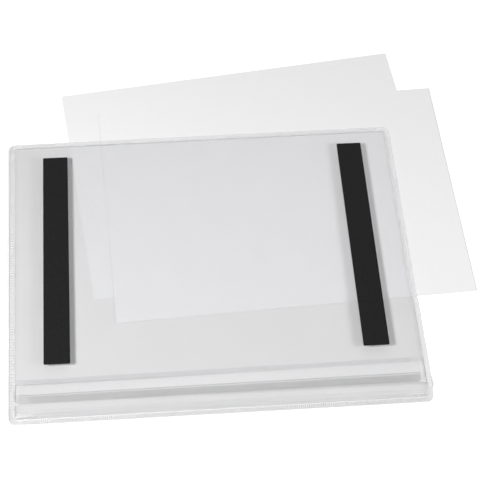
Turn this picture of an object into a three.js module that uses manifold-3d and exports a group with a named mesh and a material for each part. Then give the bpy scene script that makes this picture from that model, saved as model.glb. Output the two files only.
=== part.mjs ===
// A clear vinyl poster holder, lying face down on its two poster cards with its back up.
// Millimetres, +Z up. The origin is on the table, under the middle of the pouch.
// +X runs along the pouch's long side, and +Y points away from the loading slot.
import * as THREE from "three";
import { mergeVertices } from "three/addons/utils/BufferGeometryUtils.js";
import Module from "manifold-3d";

// Poster cards
const CARD_WIDTH = 355.6;
const CARD_HEIGHT = 254;
const CARD_THICKNESS = 0.3;
const UPPER_CARD = { x: 76.8, y: 76.1, turn: 2.14 }; // middle of the card, and degrees about +Z
const LOWER_CARD = { x: 46.6, y: 115.1, turn: 6.26 };

// Pouch, cut to take a card behind its back panel
const CARD_SIDE_ROOM = 15.4; // between a card's end and the side weld
const CARD_END_ROOM = 20.9; // spare height of the back panel over the card
const FRONT_FILM = 0.5;
const BACK_FILM = 0.5;
const CORNER_RADIUS = 7;
const CORNER_STEPS = 8;
const POCKET_DEPTH = 4.4; // clear height between the front sheet and the back panel
const EDGE_ROUND = 5; // width of a raised film's rounded edge
const EDGE_STEPS = 6;

// Welds
const WELD_WIDTH = 5.3;
const WELD_THICKNESS = 0.5;
const FLAP_WELD_WIDTH = 4.3;
const KNURL_PITCH = 1.9;
const KNURL_DEPTH = 0.2;
const SMOOTH_END = 12; // plain length at each end of a knurled band
const FLASH_LENGTH = 15; // bead of squeezed-out film on the side welds
const FLASH_REACH = 2;
const FLASH_LEFT_TO_STRIP = 6.5; // from the pocket strip's free edge to the middle of the bead
const FLASH_RIGHT_TO_STRIP = 1.4;

// Loading slot and closing flap
const PANEL_TO_BOTTOM = 39.8; // from the pouch's bottom edge to the back panel's free edge
const STRIP_HEIGHT = 18.7; // from the pouch's bottom edge to the pocket strip's free edge
const STRIP_DEPTH = 4.4; // clear height between the front sheet and the pocket strip
const FLAP_FILM = 0.6;
const FLAP_END_GAP = 2.6; // between the side welds and the flap's ends
const FLAP_WELD_INSET = 2.1; // the flap's ends reach past its weld
const FLAP_SHIFT = -1.7; // the flap is welded on a little off the middle
const FLAP_END_RADIUS = 3;
const LIP_LENGTH = 7;
const LIP_ANGLE = 28; // degrees below the flap
const LIP_GAP = 1.6; // from the lip's tip to the pocket strip
const BEND_RADIUS = 3; // of the film's middle, at the lip
const BEND_STEPS = 5;

// Magnet strips
const MAGNET_WIDTH = 25;
const MAGNET_THICKNESS = 1.6;
const MAGNET_CORNER = 1;
const MAGNET_INSET = 46.5; // from the pouch's side edge to the strip's middle
const MAGNET_TO_TOP = 23.2; // from the pouch's top edge to the strip's end
const MAGNET_TO_SLOT = 19; // from the back panel's free edge to the strip's end
const MAGNET_TURN = -0.45; // degrees: the strips are stuck on by hand
const TAPE_THICKNESS = 0.2;
const TAPE_INSET = 0.5; // the tape is a little smaller than its magnet all round

// Clearances
const LAY_GAP = 0.05; // between flat faces that lie on each other
const SIDE_GAP = 0.3; // between pieces that lie side by side

// Outline of the pouch
const POUCH_WIDTH = CARD_WIDTH + 2 * CARD_SIDE_ROOM + 2 * WELD_WIDTH;
const POUCH_HEIGHT = PANEL_TO_BOTTOM + CARD_HEIGHT + CARD_END_ROOM + WELD_WIDTH;
const RIGHT = POUCH_WIDTH / 2;
const TOP = POUCH_HEIGHT / 2;
const INNER_RIGHT = RIGHT - WELD_WIDTH - SIDE_GAP; // where the raised films meet the welds
const INNER_TOP = TOP - WELD_WIDTH - SIDE_GAP;
const PANEL_EDGE = PANEL_TO_BOTTOM - TOP;
const STRIP_EDGE = STRIP_HEIGHT - TOP;

// Heights, from the table up
const UPPER_CARD_Z = CARD_THICKNESS + LAY_GAP;
const FRONT_Z = UPPER_CARD_Z + CARD_THICKNESS + LAY_GAP;
const FRONT_TOP = FRONT_Z + FRONT_FILM;
const RIM_Z = FRONT_TOP + LAY_GAP;
const BACK_TOP = FRONT_TOP + POCKET_DEPTH + BACK_FILM;
const TAPE_Z = BACK_TOP + LAY_GAP;
const MAGNET_Z = TAPE_Z + TAPE_THICKNESS + LAY_GAP;
const FLAP_Z = BACK_TOP + LAY_GAP;

const wasm = await Module();
wasm.setup();

const vinyl = new THREE.MeshStandardMaterial({
  color: 0xe4e7e8,
  roughness: 0.12,
  metalness: 0,
  transparent: true,
  opacity: 0.3,
});
const weldedVinyl = new THREE.MeshStandardMaterial({
  color: 0xdfe1e2,
  roughness: 0.4,
  metalness: 0,
  transparent: true,
  opacity: 0.55,
});
const magnetBlack = new THREE.MeshStandardMaterial({ color: 0x232323, roughness: 0.85, metalness: 0 });
const tapeWhite = new THREE.MeshStandardMaterial({ color: 0xd9d8d2, roughness: 0.7, metalness: 0 });
const cardWhite = new THREE.MeshStandardMaterial({ color: 0xececec, roughness: 0.8, metalness: 0 });

// Booleans on closed meshes
function toSolid(geometry) {
  const bare = geometry.clone();
  bare.deleteAttribute("normal");
  bare.deleteAttribute("uv");
  const merged = mergeVertices(bare);
  return new wasm.Manifold(
    new wasm.Mesh({
      numProp: 3,
      vertProperties: merged.attributes.position.array,
      triVerts: new Uint32Array(merged.index.array),
    }),
  );
}

function toGeometry(solid) {
  const mesh = solid.getMesh();
  return new THREE.BufferGeometry()
    .setAttribute("position", new THREE.BufferAttribute(mesh.vertProperties, 3))
    .setIndex(new THREE.BufferAttribute(mesh.triVerts, 1));
}

// Plates
function roundedRectangle(width, height, radius) {
  const x = width / 2;
  const y = height / 2;
  const shape = new THREE.Shape();
  shape.absarc(x - radius, y - radius, radius, 0, Math.PI / 2);
  shape.absarc(radius - x, y - radius, radius, Math.PI / 2, Math.PI);
  shape.absarc(radius - x, radius - y, radius, Math.PI, 1.5 * Math.PI);
  shape.absarc(x - radius, radius - y, radius, 1.5 * Math.PI, 2 * Math.PI);
  return shape;
}

function plate(shape, thickness) {
  return new THREE.ExtrudeGeometry(shape, {
    depth: thickness,
    bevelEnabled: false,
    curveSegments: CORNER_STEPS,
  });
}

// A weld band along X, centred on the origin, with ridges across it pressed into its top
function knurledBand(length, width, thickness) {
  const ridges = Math.floor((length - 2 * SMOOTH_END) / KNURL_PITCH);
  const first = (-ridges * KNURL_PITCH) / 2;
  const side = new THREE.Shape();
  side.moveTo(-length / 2, 0);
  side.lineTo(length / 2, 0);
  side.lineTo(length / 2, thickness);
  for (let i = ridges; i > 0; i--) {
    side.lineTo(first + i * KNURL_PITCH, thickness);
    side.lineTo(first + (i - 0.5) * KNURL_PITCH, thickness - KNURL_DEPTH);
  }
  side.lineTo(first, thickness);
  side.lineTo(-length / 2, thickness);
  return plate(side, width)
    .rotateX(Math.PI / 2)
    .translate(0, width / 2, 0);
}

// The lines of a raised film's grid along one direction. Each has its place on the outer and the
// inner face, and the share of the full height that the film has there. A closed end is a quarter
// ellipse down to the rim, and an open end is a plain cut.
function filmLines(low, high, lowClosed, highClosed, film) {
  const quarter = [];
  for (let k = 0; k <= EDGE_STEPS; k++) {
    const angle = ((k / EDGE_STEPS) * Math.PI) / 2;
    quarter.push({
      outer: EDGE_ROUND * (1 - Math.cos(angle)),
      inner: film + (EDGE_ROUND - film) * (1 - Math.cos(angle)),
      share: Math.sin(angle),
    });
  }
  const cut = [{ outer: 0, inner: 0, share: 1 }];
  const fromLow = (lowClosed ? quarter : cut).map((q) => ({
    outer: low + q.outer,
    inner: low + q.inner,
    share: q.share,
  }));
  const toHigh = (highClosed ? quarter : cut).map((q) => ({
    outer: high - q.outer,
    inner: high - q.inner,
    share: q.share,
  }));
  return [...fromLow, ...toHigh.reverse()];
}

// A film raised like a shallow tray turned over: flat on top, rounded down to the rim at its closed sides.
// Both faces are grids, joined along their four edges.
function raisedFilm(xLines, yLines, depth, film) {
  const points = [];
  for (const face of ["outer", "inner"]) {
    const height = face === "outer" ? depth + film : depth;
    for (const y of yLines)
      for (const x of xLines) points.push(x[face], y[face], height * x.share * y.share);
  }
  const columns = xLines.length;
  const rows = yLines.length;
  const outer = (i, j) => j * columns + i;
  const inner = (i, j) => columns * rows + outer(i, j);
  const triangles = [];
  const quad = (a, b, c, d) => triangles.push(a, b, c, a, c, d);
  for (let j = 0; j + 1 < rows; j++) {
    for (let i = 0; i + 1 < columns; i++) {
      quad(outer(i, j), outer(i + 1, j), outer(i + 1, j + 1), outer(i, j + 1));
      quad(inner(i, j), inner(i, j + 1), inner(i + 1, j + 1), inner(i + 1, j));
    }
    quad(outer(0, j), outer(0, j + 1), inner(0, j + 1), inner(0, j));
    quad(outer(columns - 1, j + 1), outer(columns - 1, j), inner(columns - 1, j), inner(columns - 1, j + 1));
  }
  for (let i = 0; i + 1 < columns; i++) {
    quad(outer(i + 1, 0), outer(i, 0), inner(i, 0), inner(i + 1, 0));
    quad(outer(i, rows - 1), outer(i + 1, rows - 1), inner(i + 1, rows - 1), inner(i, rows - 1));
  }
  return new THREE.BufferGeometry()
    .setAttribute("position", new THREE.Float32BufferAttribute(points, 3))
    .setIndex(triangles);
}

// The raised films
function backPanel() {
  const across = filmLines(-INNER_RIGHT, INNER_RIGHT, true, true, BACK_FILM);
  const along = filmLines(PANEL_EDGE, INNER_TOP, false, true, BACK_FILM);
  return raisedFilm(across, along, POCKET_DEPTH - LAY_GAP, BACK_FILM);
}

function pocketStrip() {
  const across = filmLines(-INNER_RIGHT, INNER_RIGHT, true, true, BACK_FILM);
  const along = filmLines(-INNER_TOP, STRIP_EDGE, true, false, BACK_FILM);
  return raisedFilm(across, along, STRIP_DEPTH - LAY_GAP, BACK_FILM);
}

// The welds of the rim: the ends of the long ones follow the pouch's round corners
function longWeld(sign) {
  const band = knurledBand(POUCH_WIDTH, WELD_WIDTH, WELD_THICKNESS);
  const outline = plate(roundedRectangle(POUCH_WIDTH, POUCH_HEIGHT, CORNER_RADIUS), WELD_THICKNESS);
  const middle = sign * (TOP - WELD_WIDTH / 2);
  return toGeometry(toSolid(band.translate(0, middle, 0)).intersect(toSolid(outline)));
}

// The welds of the sides, each with its bead of squeezed-out film beside the slot
function sideWeld(sign) {
  const length = POUCH_HEIGHT - 2 * WELD_WIDTH - 2 * SIDE_GAP;
  const band = knurledBand(length, WELD_WIDTH, WELD_THICKNESS).rotateZ(Math.PI / 2);
  const edge = WELD_WIDTH / 2;
  const bead = new THREE.Shape();
  bead.moveTo(0, -FLASH_LENGTH / 2);
  bead.lineTo(edge, -FLASH_LENGTH / 2);
  bead.quadraticCurveTo(edge + 2 * FLASH_REACH, 0, edge, FLASH_LENGTH / 2);
  bead.lineTo(0, FLASH_LENGTH / 2);
  const flash = plate(bead, WELD_THICKNESS);
  if (sign < 0) flash.rotateZ(Math.PI);
  flash.translate(0, STRIP_EDGE + (sign < 0 ? FLASH_LEFT_TO_STRIP : FLASH_RIGHT_TO_STRIP), 0);
  return toGeometry(toSolid(band).add(toSolid(flash)));
}

// The flap's section runs from its hinge edge along +X, bends at the lip and ends at the lip's tip.
// Its middle line is at height 0.
function flapSection(reach) {
  const bend = THREE.MathUtils.degToRad(LIP_ANGLE);
  const half = FLAP_FILM / 2;
  const middle = [{ x: 0, y: 0, angle: 0 }];
  for (let k = 0; k <= BEND_STEPS; k++) {
    const angle = (k / BEND_STEPS) * bend;
    middle.push({
      x: reach + BEND_RADIUS * Math.sin(angle),
      y: BEND_RADIUS * (Math.cos(angle) - 1),
      angle,
    });
  }
  const last = middle[middle.length - 1];
  middle.push({
    x: last.x + LIP_LENGTH * Math.cos(bend),
    y: last.y - LIP_LENGTH * Math.sin(bend),
    angle: bend,
  });
  const side = (p, offset) =>
    new THREE.Vector2(p.x + offset * Math.sin(p.angle), p.y + offset * Math.cos(p.angle));
  const under = middle.map((p) => side(p, -half));
  const over = middle.map((p) => side(p, half));
  return new THREE.Shape([...under, ...over.reverse()]);
}

// How far the lip carries the flap past its flat part, seen from above
function lipReach() {
  const bend = THREE.MathUtils.degToRad(LIP_ANGLE);
  return BEND_RADIUS * Math.sin(bend) + LIP_LENGTH * Math.cos(bend);
}

const FLAP_SPAN = 2 * (INNER_RIGHT - FLAP_END_GAP);
const FLAP_HINGE = PANEL_EDGE - SIDE_GAP; // the flap's hinge edge
const FLAP_REACH = FLAP_HINGE - STRIP_EDGE - LIP_GAP - lipReach(); // its flat part

function closingFlap() {
  const whole = plate(flapSection(FLAP_REACH), FLAP_SPAN)
    .rotateX(Math.PI / 2)
    .rotateZ(-Math.PI / 2)
    .translate(FLAP_SPAN / 2, 0, 0);
  const tip = -FLAP_REACH - lipReach() - FLAP_FILM / 2;
  const side = FLAP_SPAN / 2;
  const ends = new THREE.Shape();
  ends.moveTo(-side, SIDE_GAP);
  ends.lineTo(-side, tip + FLAP_END_RADIUS);
  ends.absarc(FLAP_END_RADIUS - side, tip + FLAP_END_RADIUS, FLAP_END_RADIUS, Math.PI, 1.5 * Math.PI);
  ends.absarc(side - FLAP_END_RADIUS, tip + FLAP_END_RADIUS, FLAP_END_RADIUS, 1.5 * Math.PI, 2 * Math.PI);
  ends.lineTo(side, SIDE_GAP);
  const tall = 2 * (LIP_LENGTH + BEND_RADIUS + FLAP_FILM);
  const outline = plate(ends, tall).translate(0, 0, -tall / 2);
  return toGeometry(toSolid(whole).intersect(toSolid(outline)));
}

// Assembly
const holder = new THREE.Group();

function addNode(parent, name, geometry, material, x, y, z) {
  const mesh = new THREE.Mesh(geometry, material);
  mesh.name = name;
  mesh.position.set(x, y, z);
  parent.add(mesh);
}

function addCard(name, card, z) {
  const turned = new THREE.Group();
  turned.position.set(card.x, card.y, z);
  turned.rotation.z = THREE.MathUtils.degToRad(card.turn);
  holder.add(turned);
  const corners = [
    new THREE.Vector2(-CARD_WIDTH / 2, -CARD_HEIGHT / 2),
    new THREE.Vector2(CARD_WIDTH / 2, -CARD_HEIGHT / 2),
    new THREE.Vector2(CARD_WIDTH / 2, CARD_HEIGHT / 2),
    new THREE.Vector2(-CARD_WIDTH / 2, CARD_HEIGHT / 2),
  ];
  addNode(turned, name, plate(new THREE.Shape(corners), CARD_THICKNESS), cardWhite, 0, 0, 0);
}

function addMagnet(side, sign) {
  const length = TOP - MAGNET_TO_TOP - MAGNET_TO_SLOT - PANEL_EDGE;
  const turned = new THREE.Group();
  turned.position.set(sign * (RIGHT - MAGNET_INSET), PANEL_EDGE + MAGNET_TO_SLOT + length / 2, 0);
  turned.rotation.z = THREE.MathUtils.degToRad(MAGNET_TURN);
  holder.add(turned);
  const strip = plate(roundedRectangle(MAGNET_WIDTH, length, MAGNET_CORNER), MAGNET_THICKNESS);
  addNode(turned, `magnet_${side}`, strip, magnetBlack, 0, 0, MAGNET_Z);
  const tape = plate(
    roundedRectangle(MAGNET_WIDTH - 2 * TAPE_INSET, length - 2 * TAPE_INSET, MAGNET_CORNER),
    TAPE_THICKNESS,
  );
  addNode(turned, `tape_${side}`, tape, tapeWhite, 0, 0, TAPE_Z);
}

addCard("card_lower", LOWER_CARD, 0);
addCard("card_upper", UPPER_CARD, UPPER_CARD_Z);

const outline = roundedRectangle(POUCH_WIDTH, POUCH_HEIGHT, CORNER_RADIUS);
addNode(holder, "front_sheet", plate(outline, FRONT_FILM), vinyl, 0, 0, FRONT_Z);
addNode(holder, "back_panel", backPanel(), vinyl, 0, 0, RIM_Z);
addNode(holder, "pocket_strip", pocketStrip(), vinyl, 0, 0, RIM_Z);

addNode(holder, "weld_top", longWeld(1), weldedVinyl, 0, 0, RIM_Z);
addNode(holder, "weld_bottom", longWeld(-1), weldedVinyl, 0, 0, RIM_Z);
addNode(holder, "weld_right", sideWeld(1), weldedVinyl, RIGHT - WELD_WIDTH / 2, 0, RIM_Z);
addNode(holder, "weld_left", sideWeld(-1), weldedVinyl, WELD_WIDTH / 2 - RIGHT, 0, RIM_Z);

const flapWeld = knurledBand(FLAP_SPAN - 2 * FLAP_WELD_INSET, FLAP_WELD_WIDTH, FLAP_FILM);
addNode(holder, "flap_weld", flapWeld, weldedVinyl, FLAP_SHIFT, PANEL_EDGE + FLAP_WELD_WIDTH / 2, FLAP_Z);
addNode(holder, "closing_flap", closingFlap(), vinyl, FLAP_SHIFT, FLAP_HINGE, FLAP_Z + FLAP_FILM / 2);

addMagnet("left", -1);
addMagnet("right", 1);

export default holder;
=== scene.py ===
"""A clear vinyl poster holder lying face down on its two cards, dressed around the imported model.
Metres, +Z up."""
import math

import bmesh
import bpy
import numpy as np
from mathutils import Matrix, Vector


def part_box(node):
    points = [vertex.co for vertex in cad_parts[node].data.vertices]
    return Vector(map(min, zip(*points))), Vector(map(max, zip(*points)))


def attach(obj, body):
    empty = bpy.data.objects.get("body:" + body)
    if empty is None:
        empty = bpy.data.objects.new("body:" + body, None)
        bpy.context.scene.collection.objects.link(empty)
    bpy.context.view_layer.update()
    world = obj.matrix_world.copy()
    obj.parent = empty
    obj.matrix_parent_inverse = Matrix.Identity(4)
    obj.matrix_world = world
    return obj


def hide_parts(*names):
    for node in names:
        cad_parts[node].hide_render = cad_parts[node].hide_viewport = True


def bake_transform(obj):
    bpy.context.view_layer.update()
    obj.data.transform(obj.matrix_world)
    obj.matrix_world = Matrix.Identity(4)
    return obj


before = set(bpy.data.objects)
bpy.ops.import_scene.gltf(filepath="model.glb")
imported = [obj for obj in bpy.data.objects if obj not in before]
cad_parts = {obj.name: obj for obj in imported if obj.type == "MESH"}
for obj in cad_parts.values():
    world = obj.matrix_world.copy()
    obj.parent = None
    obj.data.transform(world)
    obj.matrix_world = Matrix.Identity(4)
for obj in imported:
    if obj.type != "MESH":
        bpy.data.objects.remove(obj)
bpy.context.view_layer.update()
MM = 0.001

# Camera, as the photograph was taken
PHOTO_PIXELS = 480
FOCAL_PIXELS = 1452.4
SENSOR_WIDTH = 36.0
CAMERA_PLACE = (-67.5 * MM, -743.6 * MM, 1228.3 * MM)
CAMERA_TURN = (32.370, -1.626, -4.695)  # degrees about X, then Y, then Z

# Lights and floor. The back lamp is a fill light, so it casts no shadow
LEFT_LAMP = {"place": (-0.70, -0.39, 0.90), "size": 0.31, "power": 12.4, "shadow": True}
RIGHT_LAMP = {"place": (0.93, -0.42, 0.66), "size": 0.43, "power": 5.4, "shadow": True}
BACK_LAMP = {"place": (0.3, 1.0, 1.15), "size": 2.0, "power": 10.6, "shadow": False}
SKY_LIGHT = 0.06
FLOOR_COLOUR = (0.785, 0.785, 0.782)
FLOOR_WHITENING = 0.45  # added where the floor is seen bare or in a reflection
BARE_DEPTH = 0.5  # the floor is seen bare where a ray has crossed fewer film faces than this
FLOOR_Z = -0.1 * MM
FLOOR_SIZE = 12.0
FILM_CROSSINGS = 32  # how many film faces a ray may cross

# Films and welds
FILM = 0.5 * MM
EDGE_ROUND = 5 * MM
EDGE_STEPS = 14
KNURL_PITCH = 1.9 * MM
SIDE_KNURL_PITCH = 2.85 * MM  # coarser on the side welds, so that it shows at the photograph's size
KNURL_DEPTH = 0.22 * MM
KNURL_SAMPLES = 6  # points along one pitch
KNURL_SWING = 0.9  # over 0.5, so that ridges and grooves come out flat
KNURL_FADE = 2 * KNURL_PITCH
SMOOTH_END = 12 * MM  # plain length at each end of a knurled band
SIDE_BOW = 1.0 * MM  # how far the right side bows out
SIDE_BOW_TOP = -43 * MM  # where the upper card ends under the right side
SIDE_BOW_RISE = 10 * MM
SIDE_BOW_WIDTH = 15 * MM
SLANT = 0.9 * MM  # how far the bottom edge lies up at its left end and down at its right end
SLANT_MIDDLE = 0.2  # share of that by which all of it lies down
SLANT_TOP = -124 * MM
SLANT_RISE = 18 * MM
CORNER_RADIUS = 7 * MM
CORNER_STEPS = 12

# Flap, from its hinge to the tip of its lip
LIP_ANGLE = math.radians(28)
LIP_LENGTH = 7 * MM
BEND_RADIUS = 3 * MM
TIP_RADIUS = 3 * MM

# Shading of edges: an edge that turns by more than this is sharp
SHARP_DEGREES = 40
RING_SHARP_DEGREES = 60

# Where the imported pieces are
FRONT_LOW, FRONT_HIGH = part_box("front_sheet")
PANEL_LOW, PANEL_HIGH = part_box("back_panel")
STRIP_LOW, STRIP_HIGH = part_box("pocket_strip")
FLAP_LOW, FLAP_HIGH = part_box("closing_flap")
FLAP_WELD_LOW, FLAP_WELD_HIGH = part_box("flap_weld")
WELD_LOW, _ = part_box("weld_top")
_, FLASH_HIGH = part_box("weld_right")


# Meshes

def add_mesh(name, points, faces, materials, sharp_degrees=SHARP_DEGREES, marks=None, slots=None):
    """A new mesh piece. marks gives each point a number, under a name that the material reads, and slots
    gives each face its place in materials."""
    mesh = bpy.data.meshes.new(name)
    mesh.from_pydata([tuple(p) for p in points], [], [tuple(f) for f in faces])
    for mark, values in (marks or {}).items():
        mesh.attributes.new(mark, "FLOAT", "POINT").data.foreach_set("value", np.float32(values))
    for material in materials:
        mesh.materials.append(material)
    if slots is not None:
        mesh.polygons.foreach_set("material_index", np.int32(slots))
    mesh.shade_smooth()
    mesh.set_sharp_from_angle(angle=math.radians(sharp_degrees))
    piece = bpy.data.objects.new(name, mesh)
    bpy.context.scene.collection.objects.link(piece)
    return piece


def both_faces(marks):
    """Marks given on a sheet's top grid, for its bottom grid too."""
    return {mark: np.tile(np.ravel(values), 2) for mark, values in marks.items()}


def shell(name, top, bottom, materials, marks, dark_columns=()):
    """A closed sheet between two grids of points, each an array of rows by columns by 3. Its narrow edges
    at the first and last column and its dark columns of faces take the last material."""
    rows, columns = top.shape[:2]
    count = rows * columns
    index = np.arange(count).reshape(rows, columns)
    a, b = index[:-1, :-1].ravel(), index[:-1, 1:].ravel()
    c, d = index[1:, 1:].ravel(), index[1:, :-1].ravel()
    rim = np.concatenate([index[0, :-1], index[:-1, -1], index[-1, :0:-1], index[:0:-1, 0]])
    following = np.roll(rim, -1)
    sides = np.stack([rim, rim + count, following + count, following], 1)
    faces = np.concatenate([np.stack([a, b, c, d], 1), np.stack([d, c, b, a], 1) + count, sides])
    dark = np.zeros((rows - 1, columns - 1))
    dark[:, list(dark_columns)] = 1
    edges = np.concatenate([np.zeros(columns - 1), np.ones(rows - 1)] * 2)
    slots = np.concatenate([dark.ravel(), dark.ravel(), edges]) * (len(materials) - 1)
    points = np.concatenate([top.reshape(-1, 3), bottom.reshape(-1, 3)])
    return add_mesh(name, points, faces.tolist(), materials, marks=both_faces(marks), slots=slots)


def ring_shell(name, top, bottom, material, marks):
    """A closed ring between two grids of points whose last row joins their first."""
    rows, columns = top.shape[:2]
    count = rows * columns
    index = np.arange(count).reshape(rows, columns)
    ahead = np.roll(index, -1, axis=0)
    a, b = index[:, :-1].ravel(), index[:, 1:].ravel()
    c, d = ahead[:, 1:].ravel(), ahead[:, :-1].ravel()
    faces = [np.stack([d, c, b, a], 1), np.stack([a, b, c, d], 1) + count]
    for column, flip in ((0, False), (columns - 1, True)):
        near, far = index[:, column], ahead[:, column]
        wall = np.stack([near, far, far + count, near + count], 1)
        faces.append(wall if flip else wall[:, ::-1])
    points = np.concatenate([top.reshape(-1, 3), bottom.reshape(-1, 3)])
    faces = np.concatenate(faces).tolist()
    return add_mesh(name, points, faces, [material], RING_SHARP_DEGREES, both_faces(marks))


def spaced(low, high, step):
    """Even steps from low to high, both included, no longer than step."""
    return np.linspace(low, high, max(2, int(math.ceil((high - low) / step)) + 1))


NOISE_WAVES = 7
NOISE_SPREAD = (0.7, 1.6)  # shortest and longest wave, as shares of the length
NOISE_PEAK = 3.5  # the sum of waves that counts as 1


def soft_noise(x, y, length, seed):
    """A smooth pattern, mostly between -1 and 1, that changes over the given length."""
    random = np.random.default_rng(seed)
    total = np.zeros(np.broadcast(x, y).shape)
    for _ in range(NOISE_WAVES):
        angle = random.uniform(0, math.pi)
        wave = random.uniform(*NOISE_SPREAD) * length
        shift = random.uniform(0, 2 * math.pi)
        total += np.sin((x * math.cos(angle) + y * math.sin(angle)) * 2 * math.pi / wave + shift)
    return total / NOISE_PEAK


def line(distance, width):
    """A soft line: 1 in the middle, fading over its width to either side."""
    return np.exp(-((distance / width) ** 2))


def dark_line(distance, drawn):
    """A soft line of the given darkness, inset and width, by distance from an edge."""
    darkness, inset, width = drawn
    return darkness * line(distance - inset, width)


def knurl_wave(steps):
    """Depth of the knurl, from 0 on a ridge to 1 in a groove, at whole steps of a sample each."""
    return np.clip(0.5 - KNURL_SWING * np.cos(2 * math.pi * steps / KNURL_SAMPLES), 0, 1)


# Materials

NOISE_LOW, NOISE_HIGH = 0.3, 0.7  # where most of a noise texture lies
EDGE_ON_POWER = 4.0  # how late a film darkens as it turns edge on
SLANT_GLOSS_POWER = 5.0  # how late it gains gloss
SLANT_GLOSS = 0.5  # the gloss that it gains
FILM_BLUE = 0.002  # how much more blue a film lets through
MILK_COLOUR = (0.92, 0.92, 0.93, 1)
CLOUD_SIZE = 14 * MM
CLOUD_DETAIL = 4
CLOUD_LOW, CLOUD_HIGH = 0.5, 1.5  # shares of the haze
RUB_SIZE = 5 * MM
RUB_DETAIL = 6
RUB_STRETCH = (1, 0.35, 1)
RUB_LOW, RUB_HIGH = 0.7, 1.3  # shares of the roughness
GRAIN_DETAIL = 5
GRAIN_HEIGHT = 0.1 * MM
GRAIN_ROUGHNESS = 0.06  # how far the roughness goes up and down with the grain


def new_material(name):
    material = bpy.data.materials.new(name)
    material.use_nodes = True
    nodes = material.node_tree.nodes
    nodes.clear()
    output = nodes.new("ShaderNodeOutputMaterial")
    return material, nodes, material.node_tree.links, output


def add_noise(nodes, links, size, detail, stretch=(1, 1, 1)):
    """Noise with features of the given size, fixed to the piece."""
    place = nodes.new("ShaderNodeTexCoord")
    scaled = nodes.new("ShaderNodeMapping")
    scaled.inputs["Scale"].default_value = stretch
    links.new(place.outputs["Object"], scaled.inputs["Vector"])
    noise = nodes.new("ShaderNodeTexNoise")
    noise.inputs["Scale"].default_value = 1 / size
    noise.inputs["Detail"].default_value = detail
    links.new(scaled.outputs["Vector"], noise.inputs["Vector"])
    return noise.outputs["Fac"]


def add_range(nodes, links, value, low, high):
    """A node that spreads noise over a range."""
    node = nodes.new("ShaderNodeMapRange")
    links.new(value, node.inputs["Value"])
    node.inputs["From Min"].default_value = NOISE_LOW
    node.inputs["From Max"].default_value = NOISE_HIGH
    node.inputs["To Min"].default_value = low
    node.inputs["To Max"].default_value = high
    return node.outputs["Result"]


def add_math(nodes, links, operation, *values):
    node = nodes.new("ShaderNodeMath")
    node.operation = operation
    for socket, value in zip(node.inputs, values):
        if isinstance(value, bpy.types.NodeSocket):
            links.new(value, socket)
        else:
            socket.default_value = value
    return node.outputs[0]


def film_material(name, clear, haze, gloss, roughness, edge_loss=0.12):
    """Clear vinyl: lets light through, less where it is seen edge on, with a gloss and a little haze.
    The mark shade is painted shade: it darkens seams, creases and edges and stands in for shadows and
    uneven light. The mark milk whitens the film where it is frosted, and also paints highlights."""
    material, nodes, links, output = new_material(name)

    def mark(word):
        node = nodes.new("ShaderNodeAttribute")
        node.attribute_name = word
        return node.outputs["Fac"]

    facing = nodes.new("ShaderNodeLayerWeight")
    facing.inputs["Blend"].default_value = 0.5
    edge_on = add_math(nodes, links, "POWER", facing.outputs["Facing"], EDGE_ON_POWER)
    loss = add_math(nodes, links, "MULTIPLY_ADD", edge_on, edge_loss, mark("shade"))
    tint = nodes.new("ShaderNodeMix")
    tint.data_type = "RGBA"
    links.new(loss, tint.inputs["Factor"])
    tint.inputs["A"].default_value = (clear, clear, min(1, clear + FILM_BLUE), 1)
    tint.inputs["B"].default_value = (0, 0, 0, 1)
    through = nodes.new("ShaderNodeBsdfTransparent")
    links.new(tint.outputs["Result"], through.inputs["Color"])
    milky = nodes.new("ShaderNodeBsdfDiffuse")
    milky.inputs["Color"].default_value = MILK_COLOUR
    clouds = add_noise(nodes, links, CLOUD_SIZE, CLOUD_DETAIL)
    cloud = add_range(nodes, links, clouds, haze * CLOUD_LOW, haze * CLOUD_HIGH)
    hazy = nodes.new("ShaderNodeMixShader")
    links.new(add_math(nodes, links, "ADD", mark("milk"), cloud), hazy.inputs["Fac"])
    links.new(through.outputs[0], hazy.inputs[1])
    links.new(milky.outputs[0], hazy.inputs[2])
    rubs = add_noise(nodes, links, RUB_SIZE, RUB_DETAIL, RUB_STRETCH)
    rubbed = add_range(nodes, links, rubs, roughness * RUB_LOW, roughness * RUB_HIGH)
    shine = nodes.new("ShaderNodeBsdfGlossy")
    links.new(rubbed, shine.inputs["Roughness"])
    slant = add_math(nodes, links, "POWER", facing.outputs["Facing"], SLANT_GLOSS_POWER)
    glossy = nodes.new("ShaderNodeMixShader")
    links.new(add_math(nodes, links, "MULTIPLY_ADD", slant, SLANT_GLOSS, gloss), glossy.inputs["Fac"])
    links.new(hazy.outputs[0], glossy.inputs[1])
    links.new(shine.outputs[0], glossy.inputs[2])
    links.new(glossy.outputs[0], output.inputs["Surface"])
    return material


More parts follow.
